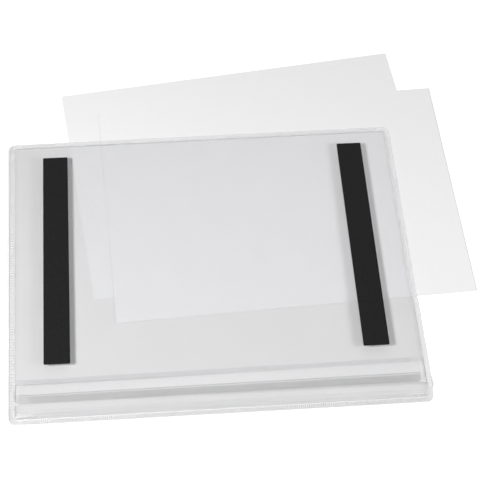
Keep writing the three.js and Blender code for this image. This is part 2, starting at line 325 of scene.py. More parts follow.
def plain_material(name, colour, contrast, roughness, specular, grain_size, bump, stretch=(1, 1, 1)):
    """An opaque colour with a grain in its tone, roughness and height."""
    material, nodes, links, output = new_material(name)
    grain = add_noise(nodes, links, grain_size, GRAIN_DETAIL, stretch)
    tone = nodes.new("ShaderNodeMix")
    tone.data_type = "RGBA"
    links.new(add_range(nodes, links, grain, 0, 1), tone.inputs["Factor"])
    tone.inputs["A"].default_value = (*[c * (1 - contrast) for c in colour], 1)
    tone.inputs["B"].default_value = (*[min(1, c * (1 + contrast)) for c in colour], 1)
    relief = nodes.new("ShaderNodeBump")
    relief.inputs["Strength"].default_value = bump
    relief.inputs["Distance"].default_value = GRAIN_HEIGHT
    links.new(grain, relief.inputs["Height"])
    surface = nodes.new("ShaderNodeBsdfPrincipled")
    surface.inputs["Specular IOR Level"].default_value = specular
    links.new(tone.outputs["Result"], surface.inputs["Base Color"])
    rough = add_range(nodes, links, grain, roughness - GRAIN_ROUGHNESS, roughness + GRAIN_ROUGHNESS)
    links.new(rough, surface.inputs["Roughness"])
    links.new(relief.outputs["Normal"], surface.inputs["Normal"])
    links.new(surface.outputs[0], output.inputs["Surface"])
    return material


vinyl = film_material("clear_vinyl_film", clear=0.981, haze=0.005, gloss=0.008, roughness=0.09,
                      edge_loss=0.08)
weld_vinyl = film_material("welded_vinyl", clear=0.999, haze=0.14, gloss=0.006, roughness=0.2)
flap_vinyl = film_material("flap_vinyl", clear=0.985, haze=0.004, gloss=0.006, roughness=0.09)
magnet_black = plain_material("magnet_black", (0.0098, 0.0097, 0.0098), contrast=0.55, roughness=0.8,
                              specular=0.12, grain_size=1.3 * MM, bump=0.4)
tape_white = plain_material("tape_white", (0.7, 0.69, 0.65), contrast=0.04, roughness=0.7,
                            specular=0.3, grain_size=0.8 * MM, bump=0.2)
card_white = plain_material("card_white", (0.84, 0.84, 0.842), contrast=0.012, roughness=0.85,
                            specular=0.2, grain_size=1.5 * MM, bump=0.12)
# Painted shade: grey for the cards' cut ends, standing in for the shadow line along them
card_edge_shade = plain_material("card_edge_painted_shade", (0.5, 0.5, 0.5), contrast=0.1, roughness=0.9,
                           specular=0.1, grain_size=0.5 * MM, bump=0.3, stretch=(1, 1, 0.2))


# Raised films. A noise is given by its length and seed, and a line by its darkness, inset and width

PANEL_STEPS = (4 * MM, 4 * MM)  # longest steps of the grid along X and Y
PANEL_SAG = 0.22 * MM
PANEL_SAG_NOISE = (0.16, 3)
MAGNET_MARGIN = 12 * MM  # the sag sets in over this length beside a magnet strip
# Painted shade on the back panel, standing in for uneven light: darker at the left and falling off across
# it
PANEL_SHADE = 0.0335  # at the left end
PANEL_SHADE_FALL = 0.0165
PANEL_SHADE_EVEN = 0.72  # the share of the width over which it falls
PANEL_CLOUDS = 0.0015
PANEL_CLOUD_NOISE = (0.05, 11)
# Painted shade along the lines where the panel bends down to the right and top welds
PANEL_RIGHT_LINE = (0.012, 0.5 * MM, 0.6 * MM)
PANEL_TOP_LINE = (0.03, 1.0 * MM, 0.6 * MM)
RIGHT_BAND = 0.005  # painted shade in a band along the right end, where the film rounds down
RIGHT_BAND_FADE = 1.5 * MM
RIGHT_BAND_FADES = 3.8  # its width, in lengths of its fade
SMUDGE = 0.012
SMUDGE_PLACE = (184 * MM, -69 * MM)
SMUDGE_SIZE = (2.5 * MM, 5 * MM)

STRIP_STEPS = (1.6 * MM, 0.5 * MM)
STRIP_WRINKLES = (  # distance from the bottom weld in mm, slope, and depth in mm
    (2.2, 0.003, 0.25),
    (3.4, -0.004, 0.2),
    (4.6, 0.002, 0.15),
)
WRINKLE_WIDTH = 0.45 * MM
STRIP_SAG = 0.1 * MM
STRIP_SAG_STRETCH = 0.3
STRIP_SAG_NOISE = (0.09, 5)
# Painted shade on the pocket film: darker at the left, in a band along the bottom weld where it rounds
# down, along the slot, along its creases and at its ends
STRIP_SHADE = 0.006
STRIP_LEFT_SHADE = 0.027  # added at the left end
STRIP_LEFT_REACH = 0.75  # the share of the width over which it fades
STRIP_LOW_SHADE = 0.006  # added along the bottom weld
STRIP_LOW_FADE = 1.2 * MM
STRIP_LOW_FADES = 5  # the width of that, in lengths of its fade
# The painted shadow along the slot, where the flap's lip shades the pocket film: its width in mm and its
# darkness at the left, and what the right has more
TO_SLOT_WIDTH, TO_SLOT_WIDENS = 1.2, 1.8
TO_SLOT_SHADE, TO_SLOT_DARKENS = 0.012, 0.055
SOFT_POWER = 0.7  # under 1, so that a tone falls off late
# Painted shade along creases by the bottom weld
STRIP_CREASES = (  # distance from the bottom weld in mm, slope, darkness and seed
    (5.6, -0.002, 0.045, 21),
    (3.6, 0.003, 0.035, 22),
    (2.2, -0.002, 0.035, 24),
    (0.7, 0.001, 0.04, 23),
)
CREASE_WIDTH = 0.35 * MM
CREASE_WANDER = 0.25 * MM
CREASE_WANDER_LENGTH = 0.06
CREASE_MEAN, CREASE_SWING = 0.75, 0.35  # how strong a crease is, and how that changes along it
CREASE_SWING_LENGTH = 0.05
CREASE_SWING_SEED = 10  # added to the crease's seed
CREASE_END = 14 * MM  # the dark creases stop this far from either end of the strip
CREASE_FADE = 15 * MM
# Painted shade at the pocket film's ends, beside the side welds
STRIP_LEFT_LINE = (0.1, 0.3 * MM, 0.6 * MM)
STRIP_RIGHT_LINE = (0.02, 0.3 * MM, 0.6 * MM)
STRIP_RIGHT_BAND = (0.02, 3.5 * MM, 3 * MM)
# Painted highlights in the pocket film's bottom corners, where it rounds down: whitened with milk
LEFT_GLINT, LEFT_GLINT_HALF = 4 * MM, 20 * MM  # a painted highlight's middle, from the end, and half length
RIGHT_GLINT, RIGHT_GLINT_HALF = 8 * MM, 14 * MM
RIGHT_GLINT_SHARE = 0.5  # of the left one's strength
GLINT_TAPER = 1.3
GLINT_INSET = 1.1 * MM
GLINT_WIDTH = 0.9 * MM
GLINT_MILK = 0.6


def film_lines(low, high, low_closed, high_closed, step):
    """Grid lines of a raised film: place on the outer face, on the inner face, and share of full height."""
    turn = np.linspace(0, math.pi / 2, EDGE_STEPS + 1)
    outer = EDGE_ROUND * (1 - np.cos(turn))
    inner = FILM + (EDGE_ROUND - FILM) * (1 - np.cos(turn))
    share = np.sin(turn)
    first = low + (EDGE_ROUND if low_closed else 0)
    last = high - (EDGE_ROUND if high_closed else 0)
    middle = spaced(first, last, step)
    outers, inners, shares = [middle], [middle], [np.ones(len(middle))]
    if low_closed:
        outers.insert(0, low + outer[:-1])
        inners.insert(0, low + inner[:-1])
        shares.insert(0, share[:-1])
    if high_closed:
        outers.append(high - outer[-2::-1])
        inners.append(high - inner[-2::-1])
        shares.append(share[-2::-1])
    return np.concatenate(outers), np.concatenate(inners), np.concatenate(shares)


def raised_film(name, low, high, closed, steps, ripple, marks):
    """A film that rises from its rim at the closed sides to its full height, with a ripple and marks on it.
    closed says which of left, right, bottom and top are welded down."""
    left, right, bottom, top = closed
    x_out, x_in, x_share = film_lines(low.x, high.x, left, right, steps[0])
    y_out, y_in, y_share = film_lines(low.y, high.y, bottom, top, steps[1])
    share = y_share[:, None] * x_share[None, :]
    height = high.z - low.z
    faces = []
    for xs, ys, rise in ((x_out, y_out, height), (x_in, y_in, height - FILM)):
        x, y = np.meshgrid(xs, ys)
        z = low.z + rise * share + ripple(x, y) * share
        bow_x, bow_y = film_bow(x, y)
        faces.append(np.stack([x + bow_x, y + bow_y, z], 2))
    return shell(name, faces[0], faces[1], [vinyl], marks(*np.meshgrid(x_out, y_out)))


def film_bow(x, y):
    """How far the films lie from their drawn place, along X and Y: the right side bows out where it lies
    beside the cards and not on them, and the bottom edge lies a little aslant."""
    near_side = np.clip((x - PANEL_HIGH.x) / SIDE_BOW_WIDTH + 1, 0, 1)
    beside_cards = np.clip((SIDE_BOW_TOP - y) / SIDE_BOW_RISE, 0, 1)
    above_corner = np.clip((y - STRIP_LOW.y) / SIDE_BOW_RISE, 0, 1)
    slant = -SLANT * (2 * x / (PANEL_HIGH.x - PANEL_LOW.x) + SLANT_MIDDLE)
    near_bottom = np.clip((SLANT_TOP - y) / SLANT_RISE, 0, 1)
    return SIDE_BOW * near_side * beside_cards * above_corner, slant * near_bottom


def panel_ripple(x, y):
    """The back panel sags a little, except under the magnet strips."""
    slack = PANEL_SAG * (soft_noise(x, y, *PANEL_SAG_NOISE) - 1)
    for side in ("left", "right"):
        low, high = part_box(f"magnet_{side}")
        away = np.maximum(np.abs(x - (low.x + high.x) / 2) - (high.x - low.x) / 2, 0)
        slack = slack * np.clip(away / MAGNET_MARGIN, 0, 1)
    return slack


def panel_marks(x, y):
    """Painted shade, darker at the left, faint clouds, painted shade along the lines where the back panel
    bends down to the right and top welds and in a band along its right end, and a smudge."""
    across = (x - PANEL_LOW.x) / (PANEL_HIGH.x - PANEL_LOW.x)
    shade = PANEL_SHADE - PANEL_SHADE_FALL * np.clip(across / PANEL_SHADE_EVEN, 0, 1)
    shade = shade + PANEL_CLOUDS * soft_noise(x, y, *PANEL_CLOUD_NOISE)
    shade += dark_line(PANEL_HIGH.x - x, PANEL_RIGHT_LINE)
    shade += dark_line(PANEL_HIGH.y - y, PANEL_TOP_LINE)
    shade += RIGHT_BAND * np.clip((x - PANEL_HIGH.x) / RIGHT_BAND_FADE + RIGHT_BAND_FADES, 0, 1)
    smudge = SMUDGE * line(x - SMUDGE_PLACE[0], SMUDGE_SIZE[0])
    shade += smudge * line(y - SMUDGE_PLACE[1], SMUDGE_SIZE[1])
    return {"shade": np.clip(shade, 0, 1), "milk": np.zeros(x.shape)}


def strip_ripple(x, y):
    """Low lengthwise wrinkles along the bottom weld."""
    total = np.zeros(x.shape)
    for offset, slope, depth in STRIP_WRINKLES:
        crease = STRIP_LOW.y + offset * MM + slope * x
        total -= depth * MM * line(y - crease, WRINKLE_WIDTH)
    return total + STRIP_SAG * soft_noise(x, y * STRIP_SAG_STRETCH, *STRIP_SAG_NOISE)


def strip_marks(x, y):
    """Painted shade, darker at the left, along creases by the bottom weld, in a band along the slot where
    the lip's shadow falls, and at the ends; and painted highlights in its corners."""
    across = (x - STRIP_LOW.x) / (STRIP_HIGH.x - STRIP_LOW.x)
    shade = STRIP_SHADE + STRIP_LEFT_SHADE * np.clip(1 - across / STRIP_LEFT_REACH, 0, 1) ** SOFT_POWER
    shade = shade + STRIP_LOW_SHADE * np.clip((STRIP_LOW.y - y) / STRIP_LOW_FADE + STRIP_LOW_FADES, 0, 1)
    slot_band = (TO_SLOT_WIDTH + TO_SLOT_WIDENS * across) * MM
    to_slot = np.clip(1 - (STRIP_HIGH.y - y) / slot_band, 0, 1)
    shade += (TO_SLOT_SHADE + TO_SLOT_DARKENS * across) * to_slot ** SOFT_POWER
    from_left, from_right = x - STRIP_LOW.x, STRIP_HIGH.x - x
    off_corner = np.clip((np.minimum(from_left, from_right) - CREASE_END) / CREASE_FADE, 0, 1)
    for offset, slope, dark, seed in STRIP_CREASES:
        wander = CREASE_WANDER * soft_noise(x, 0 * y, CREASE_WANDER_LENGTH, seed)
        crease = STRIP_LOW.y + offset * MM + slope * x + wander
        swing = CREASE_SWING * soft_noise(x, 0 * y, CREASE_SWING_LENGTH, seed + CREASE_SWING_SEED)
        shade = shade + dark * ((CREASE_MEAN + swing) * off_corner) * line(y - crease, CREASE_WIDTH)
    shade += dark_line(from_left, STRIP_LEFT_LINE) + dark_line(from_right, STRIP_RIGHT_LINE)
    shade += dark_line(from_right, STRIP_RIGHT_BAND)
    # Painted highlights in the bottom corners
    left_glint = np.clip(1 - np.abs(from_left - LEFT_GLINT) / LEFT_GLINT_HALF, 0, 1) ** GLINT_TAPER
    right_glint = np.clip(1 - np.abs(from_right - RIGHT_GLINT) / RIGHT_GLINT_HALF, 0, 1) ** GLINT_TAPER
    white = left_glint + RIGHT_GLINT_SHARE * right_glint
    white = white * line(y - STRIP_LOW.y - GLINT_INSET, GLINT_WIDTH)
    return {"shade": np.clip(shade * (1 - white), 0, 1), "milk": GLINT_MILK * white}


back = raised_film("back_film", PANEL_LOW, PANEL_HIGH, (True, True, False, True), PANEL_STEPS,
                   panel_ripple, panel_marks)
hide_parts("back_panel")
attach(back, "holder")

strip = raised_film("pocket_film", STRIP_LOW, STRIP_HIGH, (True, True, True, False), STRIP_STEPS,
                    strip_ripple, strip_marks)
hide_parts("pocket_strip")
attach(strip, "holder")


# Rim weld: both films fused, knurled, with a bead along the inner edge

RIM_SECTION = (  # distance in from the edge and height over the weld's seat in mm, and share of the knurl
    (-0.2, -0.45, 0),
    (-0.1, -0.35, 0),
    (0.05, -0.2, 0),
    (0.2, 0.3, 0),
    (0.6, 0.5, 0),
    (0.8, 0.5, 1),
    (4.2, 0.5, 1),
    (4.45, 0.5, 0),
    (4.7, 0.68, 0),
    (5.0, 0.72, 0),
    (5.3, 0.66, 0),
    (5.6, 0.3, 0),
)
RIM_WIDTH = RIM_SECTION[-1][0] * MM
FEATHER_INSET = -0.15  # points of the section outside this, in mm, move out with the squeezed-out film
OUTER_LINE_FROM, OUTER_LINE_TO = 0.1, 0.65  # where the section's outer edge lies, in mm
INNER_LINE_FROM = 4.5
SLOT_LINE_FROM = 4.8
CROSS_LINE_FROM = 0.7
STRAIGHT = 0.99  # a station whose inward direction is this much along X is on a straight side

# Painted shade, set for each side of the weld: how much it darkens at its outer and inner edge, in the
# grooves of its knurl, and all over its knurled band
OUTER_LINE = {"left": 0.15, "right": 0.015, "bottom": 0.015, "top": 0.01}
INNER_LINE = {"left": 0.03, "right": 0.012, "bottom": 0.0, "top": 0.012}
KNURL_SHADE = {"left": 0.024, "right": 0.045, "bottom": 0.055, "top": 0.036}
BAND_SHADE = {"left": 0.07, "right": 0.02, "bottom": 0.06, "top": 0.024}
KNURL_MILK = 0.3  # how milky the ridges of the knurl are
LEFT_EDGE_MILK, EDGE_MILK = 0.6, 0.2  # how milky the outermost edge is, on the left and elsewhere
BARE_LINE = 0.05  # painted shade on the right weld's inner edge where no card lies under it
BARE_LINE_FADE = 4 * MM
BARE_KNURL = 0.2  # share of the right weld's knurl there

# Beside the slot, on the left (-1) and on the right (1)
SLOT_LINE = {-1: 0.1, 1: 0.11}  # how much painted shade the side welds' inner edges get
SLOT_LINE_ENDS = {-1: (-136 * MM, -123 * MM), 1: (-143 * MM, -117 * MM)}
SLOT_LINE_FADE = 1 * MM
CROSS_LINE = 0.06  # a thin line across each side weld
CROSS_LINE_Y = {-1: -142.8 * MM, 1: -145 * MM}
CROSS_LINE_WIDTH = 0.4 * MM
FLASH_REACH = FLASH_HIGH.x - FRONT_HIGH.x
FLASH_SHARE = {-1: 1, 1: 0.6}
FLASH_HALF = 7.5 * MM
FLASH_Y = {-1: STRIP_HIGH.y + 6.5 * MM, 1: STRIP_HIGH.y + 1.4 * MM}
FEATHER_TOP = 1.8 * MM  # reach of the thin film outside the left weld
FEATHER_BOTTOM = 3.3 * MM
FEATHER_END = 3 * MM  # from the bottom edge
FEATHER_FADE = 12 * MM


def rim_stations():
    """Points round the pouch's outline, with the inward direction, the knurl's depth, and its share
    there."""
    width, height = FRONT_HIGH.x - FRONT_LOW.x, FRONT_HIGH.y - FRONT_LOW.y
    stations = []
    for k in range(4):
        turn = k * math.pi / 2
        along = np.array([math.cos(turn), math.sin(turn)])
        inward = np.array([-along[1], along[0]])
        length = (width if k % 2 == 0 else height) - 2 * CORNER_RADIUS
        reach = (height if k % 2 == 0 else width) / 2
        start = -inward * reach - along * length / 2
        knurled = length + 2 * CORNER_RADIUS - 2 * SMOOTH_END
        pitch = KNURL_PITCH if k % 2 == 0 else SIDE_KNURL_PITCH
        count = int(length / pitch * KNURL_SAMPLES) // 2
        for step in range(-count, count + 1):
            place = step / count * length / 2
            fade = np.clip((knurled / 2 - abs(place)) / KNURL_FADE, 0, 1)
            at = start + along * (place + length / 2)
            stations.append((at, inward, knurl_wave(step) * fade, fade))
        centre = start + along * length + inward * CORNER_RADIUS
        for step in range(1, CORNER_STEPS):
            angle = turn - math.pi / 2 + step / CORNER_STEPS * math.pi / 2
            outward = np.array([math.cos(angle), math.sin(angle)])
            stations.append((centre + CORNER_RADIUS * outward, -outward, 0.0, 0.0))
    return stations


def by_side(values, inward):
    """A value that each side has, shared between two sides in a corner."""
    weights = {"left": inward[0], "right": -inward[0], "bottom": inward[1], "top": -inward[1]}
    return sum(values[side] * max(0, weight) ** 2 for side, weight in weights.items())


def side_weld_lines(point, side, inset):
    """Dark lines that only the side welds have: painted shade along their inner edge beside the slot, and a
    thin line across them.
    """
    low, high = SLOT_LINE_ENDS[side]
    above_low = np.clip((point[1] - low) / SLOT_LINE_FADE, 0, 1)
    below_high = np.clip((high - point[1]) / SLOT_LINE_FADE, 0, 1)
    if inset > SLOT_LINE_FROM:
        return SLOT_LINE[side] * (above_low * below_high)
    return CROSS_LINE * line(point[1] - CROSS_LINE_Y[side], CROSS_LINE_WIDTH) * (inset > CROSS_LINE_FROM)


def rim_weld():
    """The weld round the pouch, with squeezed-out film on its outer edge: a bead on each side beside the
    slot, and a thin feather along the left."""
    top, bottom, shade, milk = [], [], [], []
    for point, inward, knurl, share in rim_stations():
        flash, feather, bare = 0, 0, 0
        side = int(math.copysign(1, point[0]))
        straight_side = abs(inward[0]) > STRAIGHT
        if straight_side:
            off_slot = (point[1] - FLASH_Y[side]) / FLASH_HALF
            flash = FLASH_REACH * max(0, 1 - off_slot ** 2) ** 2 * FLASH_SHARE[side]
        if straight_side and inward[0] < 0:
            bare = np.clip((SIDE_BOW_TOP - point[1]) / SIDE_BOW_RISE, 0, 1)
            knurl *= 1 - (1 - BARE_KNURL) * bare
        if inward[0] > 0:
            down = (FRONT_HIGH.y - point[1]) / (FRONT_HIGH.y - FRONT_LOW.y)
            feather = (FEATHER_TOP + (FEATHER_BOTTOM - FEATHER_TOP) * down) * inward[0] ** 2
            feather *= np.clip((point[1] - FRONT_LOW.y - FEATHER_END) / FEATHER_FADE, 0, 1)
        above_slot = np.clip((point[1] - SLOT_LINE_ENDS[1][0]) / BARE_LINE_FADE, 0, 1)
        edge_milk = LEFT_EDGE_MILK if inward[0] > 0 else EDGE_MILK
        top_row, bottom_row, shade_row, milk_row = [], [], [], []
        for inset, height, knurled in RIM_SECTION:
            out = feather + flash if inset < FEATHER_INSET else 0
            at = point + inward * (inset * MM - out)
            at = at + film_bow(*at)
            top_row.append((*at, WELD_LOW.z + height * MM - KNURL_DEPTH * knurl * knurled))
            bottom_row.append((*at, FRONT_LOW.z))
            # Painted shade: lines at the weld's edges, in its knurl's grooves and over its band, set for
            # each side
            outer, inner = OUTER_LINE_FROM < inset < OUTER_LINE_TO, inset > INNER_LINE_FROM
            dark = by_side(OUTER_LINE, inward) * outer + by_side(INNER_LINE, inward) * inner
            dark += (by_side(KNURL_SHADE, inward) * knurl + by_side(BAND_SHADE, inward)) * knurled
            dark += BARE_LINE * bare * inner * above_slot
            shade_row.append(dark + (side_weld_lines(point, side, inset) if straight_side else 0))
            milk_row.append(edge_milk if inset < 0 else KNURL_MILK * (share - knurl) * knurled)
        top.append(top_row)
        bottom.append(bottom_row)
        shade.append(shade_row)
        milk.append(milk_row)
    marks = {"shade": np.array(shade), "milk": np.array(milk)}
    return ring_shell("rim_weld", np.array(top), np.array(bottom), weld_vinyl, marks)


rim = rim_weld()
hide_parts("weld_top", "weld_bottom", "weld_left", "weld_right")
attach(rim, "holder")


# Front film: the viewing face, inside the rim

FRONT_GAP = 0.05 * MM
FRONT_STEP = 8 * MM
FRONT_SLACK = 0.08 * MM
FRONT_SLACK_NOISE = (0.12, 15)
FRONT_SLACK_FADE = 20 * MM


def front_film():
    inset = RIM_WIDTH + FRONT_GAP
    xs = spaced(FRONT_LOW.x + inset, FRONT_HIGH.x - inset, FRONT_STEP)
    ys = spaced(FRONT_LOW.y + inset, FRONT_HIGH.y - inset, FRONT_STEP)
    x, y = np.meshgrid(xs, ys)
    for row in (0, -1):
        for column in (0, -1):
            x[row, column] -= math.copysign(CORNER_RADIUS - RIM_WIDTH, x[row, column]) / 2
            y[row, column] -= math.copysign(CORNER_RADIUS - RIM_WIDTH, y[row, column]) / 2
    from_rim = np.minimum(xs[-1] - np.abs(x), ys[-1] - np.abs(y))
    slack = FRONT_SLACK * (1 + soft_noise(x, y, *FRONT_SLACK_NOISE))
    slack = slack * np.clip(from_rim / FRONT_SLACK_FADE, 0, 1)
    bow_x, bow_y = film_bow(x, y)
    x, y = x + bow_x, y + bow_y
    top = np.stack([x, y, FRONT_HIGH.z + slack], 2)
    bottom = np.stack([x, y, FRONT_LOW.z + slack], 2)
    plain = np.zeros(x.shape)
    return shell("front_film", top, bottom, [vinyl], {"shade": plain, "milk": plain})


front = front_film()
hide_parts("front_sheet")
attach(front, "holder")


# Flap: one film from its weld, over the living hinge, to the tip of its lip

FLAP_THICK = FLAP_WELD_HIGH.z - FLAP_WELD_LOW.z
FLAP_WELD_WIDTH = FLAP_WELD_HIGH.y - FLAP_WELD_LOW.y
FLAP_END = FLAP_WELD_HIGH.y - FLAP_LOW.y - FLAP_THICK / 2 * math.sin(LIP_ANGLE)
FLAP_FOLD = FLAP_END - LIP_LENGTH * math.cos(LIP_ANGLE) - BEND_RADIUS * math.sin(LIP_ANGLE)
FLAP_SAG = 0.12 * MM
FLAP_SAG_NOISE = (0.07, 9)
FLAP_SAG_START = 14 * MM  # the sag grows from the weld to here

# Rows of points along the flap: lengths, and the longest step in each
KNURL_INSET = 0.35 * MM  # plain edge of the flap's weld
KNURL_STEP = 0.1 * MM  # run of the knurl's end walls
KNURL_ROW = 0.9 * MM
ROLL_LENGTH, ROLL_ROW = 2.8 * MM, 0.4 * MM  # below the weld
FLAT_ROW = 2.1 * MM
FOLD_LENGTH, FOLD_ROW = 0.7 * MM, 0.35 * MM  # above the fold
BEND_POINTS = 7
LIP_START, LIP_START_ROW = 0.8 * MM, 0.4 * MM
LIP_END, LIP_ROW = 5.2 * MM, 1.1 * MM
TIP_ROW = 0.37 * MM

# The flap's tones, all painted shade: its weld darker towards its lower edge and its right end, the rest
# darker at its left, lines at the hinge, the fold and the tip, dark ends, and its lip darkened to stand in
# for the shadow in the slot under it. A share is one of the flap's width from its left end, or of its lip's
# depth
BAND_LEFT, BAND_RISE, BAND_EVEN = 0.004, 0.008, 0.45  # on the weld: at the left, rise, share it takes
BAND_POWER, BAND_POWER_FALL = 1.2, 0.9  # how late it darkens down the weld: at the left, and fall
BAND_FADE = 0.8 * MM
BAND_BELOW, BAND_WIDENS = 1.0, 1.0  # its end below the weld, in mm: at the left, and added at the right
PLAIN_LEFT, PLAIN_FALL, PLAIN_EVEN = 0.030, 0.026, 0.5  # all over: at the left, fall, share it takes
PLAIN_FADE = 1 * MM
PLAIN_ON_WELD = 0.5  # how much of that the weld has
FLAP_KNURL_SHADE = 0.025
HINGE_LINE = (0.13, 1.0 * MM, 0.45 * MM)
END_SHARE = 0.04  # the hinge line and the lip grow to full strength over this share
HINGE_LINE_LEAST = 0.5  # strength of the hinge line at its left end
HINGE_FADE_END, HINGE_FADE = 0.8, 0.5  # the share where it has faded to the right, and the fade's length
HINGE_FADE_LEAST = 0.1  # strength that stays
# Painted shadow: the lip is darkened to stand in for the shadow in the slot under it
LIP_SHADE = 0.108
LIP_FROM, LIP_FROM_FADE = 0.12, 0.12
LIP_TO, LIP_TO_FADE = 1.1, 0.2
LIP_PALER, LIP_PALER_SHARE = 0.45, 0.35  # towards the tip at the left
LIP_LEAST = 0.6  # strength of the lip's tone at its left end
# Painted reflections: faint streaks along the lip's tone
LIP_STREAKS = 0.06
LIP_STREAK_ALONG, LIP_STREAK_ACROSS = 0.25, 4
LIP_STREAK_NOISE = (0.012, 31)
TIP_LINE = (0.02, 0.9, 0.05)  # in shares of the lip's depth
FOLD_LINE = (0.19, 0.03, 0.05)
ENDS_START = 1.5 * MM  # below the weld
FLAP_LEFT_LINE, FLAP_LEFT_WIDTH = 0.16, 0.9 * MM
FLAP_RIGHT_LINE, FLAP_RIGHT_WIDTH = 0.05, 0.6 * MM


def flap_path():
    """Middle line of the flap from its weld to its tip: distance below the weld's upper edge, height,
    direction, and whether it is knurled."""
    middle = (FLAP_WELD_LOW.z + FLAP_WELD_HIGH.z) / 2
    knurl_end = FLAP_WELD_WIDTH - KNURL_INSET
    roll_end = FLAP_WELD_WIDTH + ROLL_LENGTH
    fold_start = FLAP_FOLD - FOLD_LENGTH
    knurl_rows = spaced(KNURL_INSET + KNURL_STEP, knurl_end - KNURL_STEP, KNURL_ROW)
    path = []
    for s in (0, KNURL_INSET, *knurl_rows, knurl_end):
        path.append((s, middle, 0.0, KNURL_INSET < s < knurl_end))
    roll = spaced(FLAP_WELD_WIDTH, roll_end, ROLL_ROW)
    flat = spaced(roll_end, fold_start, FLAT_ROW)[1:]
    fold = spaced(fold_start, FLAP_FOLD, FOLD_ROW)[1:]
    for s in (*roll, *flat, *fold):
        path.append((s, middle, 0.0, False))
    for angle in np.linspace(0, LIP_ANGLE, BEND_POINTS)[1:]:
        s = FLAP_FOLD + BEND_RADIUS * math.sin(angle)
        path.append((s, middle - BEND_RADIUS * (1 - math.cos(angle)), angle, False))
    bend_s, bend_z = path[-1][:2]
    lip_start = spaced(0, LIP_START, LIP_START_ROW)[1:]
    lip = spaced(LIP_START, LIP_END, LIP_ROW)[1:]
    tip = spaced(LIP_END, LIP_LENGTH, TIP_ROW)[1:]
    for t in (*lip_start, *lip, *tip):
        s = bend_s + t * math.cos(LIP_ANGLE)
        path.append((s, bend_z - t * math.sin(LIP_ANGLE), LIP_ANGLE, False))
    return path


def flap_film():
    path = flap_path()
    centre = (FLAP_LOW.x + FLAP_HIGH.x) / 2
    half = (FLAP_HIGH.x - FLAP_LOW.x) / 2
    count = int(2 * half / KNURL_PITCH * KNURL_SAMPLES) // 2
    steps = np.arange(-count, count + 1)
    across = steps / count
    from_end = half * (1 - np.abs(across)) - SMOOTH_END / 2
    wave = knurl_wave(steps) * np.clip(from_end / KNURL_FADE, 0, 1)
    top, bottom = [], []
    for s, z, angle, knurled in path:
        to_tip = max(0, TIP_RADIUS - (FLAP_END - s))
        width = half - TIP_RADIUS + math.sqrt(TIP_RADIUS ** 2 - min(TIP_RADIUS, to_tip) ** 2)
        x = centre + across * width
        sag = FLAP_SAG * soft_noise(x, np.full(x.shape, s), *FLAP_SAG_NOISE)
        sag = sag * min(1, s / FLAP_SAG_START) ** 2
        for row, side in ((top, 1), (bottom, -1)):
            y = FLAP_WELD_HIGH.y - s - side * FLAP_THICK / 2 * math.sin(angle)
            height = z + side * FLAP_THICK / 2 * math.cos(angle) + sag
            if side > 0:
                height = height - KNURL_DEPTH * wave * knurled
            row.append(np.stack([x, y + film_bow(x, y)[1], height], 1))
    top, bottom = np.array(top)[::-1], np.array(bottom)[::-1]
    distance = np.array([s for s, z, angle, knurled in path])[::-1, None]
    knurl = np.array([knurled for s, z, angle, knurled in path])[::-1, None] * wave[None, :]
    return shell("flap_film", top, bottom, [flap_vinyl], flap_marks(top[:, :, 0], distance, knurl))


def flap_marks(x, s, knurl):
    """The flap's tones, by distance from its weld's upper edge, all painted shade: the knurl's grooves,
    dark lines at the hinge and the fold, the lip darkened to stand in for the shadow under it, and dark
    ends."""
    from_left = (x - FLAP_LOW.x) / (FLAP_HIGH.x - FLAP_LOW.x)
    band = BAND_LEFT + BAND_RISE * np.clip(from_left / BAND_EVEN, 0, 1)
    plain = PLAIN_LEFT - PLAIN_FALL * np.clip(from_left / PLAIN_EVEN, 0, 1)
    plain = plain * np.clip((s - FLAP_WELD_WIDTH) / PLAIN_FADE, PLAIN_ON_WELD, 1)
    rise = np.clip(s / FLAP_WELD_WIDTH, 0, 1) ** (BAND_POWER - BAND_POWER_FALL * from_left)
    roll = FLAP_WELD_WIDTH + (BAND_BELOW + BAND_WIDENS * from_left) * MM
    band = band * rise * np.clip((roll - s) / BAND_FADE + 0.5, 0, 1)
    shade = band + FLAP_KNURL_SHADE * knurl + plain
    fading = np.clip(from_left / END_SHARE, HINGE_LINE_LEAST, 1)
    fading = fading * np.clip((HINGE_FADE_END - from_left) / HINGE_FADE, HINGE_FADE_LEAST, 1)
    shade = shade + fading * dark_line(s - FLAP_WELD_WIDTH, HINGE_LINE)
    depth = (s - FLAP_FOLD) / (FLAP_END - FLAP_FOLD)
    lip = LIP_SHADE * np.clip((depth - LIP_FROM) / LIP_FROM_FADE, 0, 1)
    lip = lip * np.clip((LIP_TO - depth) / LIP_TO_FADE, 0, 1)
    lip = lip * (1 - LIP_PALER * depth * np.clip(1 - from_left / LIP_PALER_SHARE, 0, 1))
    lip = lip * np.clip(from_left / END_SHARE, LIP_LEAST, 1)
    streaks = soft_noise(x * LIP_STREAK_ALONG, s * LIP_STREAK_ACROSS, *LIP_STREAK_NOISE)
    lip = lip * (1 + LIP_STREAKS * streaks)
    shade = shade + lip + dark_line(depth, TIP_LINE) + dark_line(depth, FOLD_LINE)
    below_weld = s > FLAP_WELD_WIDTH + ENDS_START
    shade = shade + FLAP_LEFT_LINE * line(x - FLAP_LOW.x, FLAP_LEFT_WIDTH) * below_weld
    shade = shade + FLAP_RIGHT_LINE * line(FLAP_HIGH.x - x, FLAP_RIGHT_WIDTH) * below_weld
    return {"shade": np.clip(shade, 0, 1), "milk": np.zeros(shade.shape)}


flap = flap_film()
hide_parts("closing_flap", "flap_weld")
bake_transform(flap)


# Cards: thin sheets. The upper card's free ends curl up a little. The cards' cut ends are grey, and so is a
# thin strip of the upper card beside them: painted shade for the shadow line along those edges

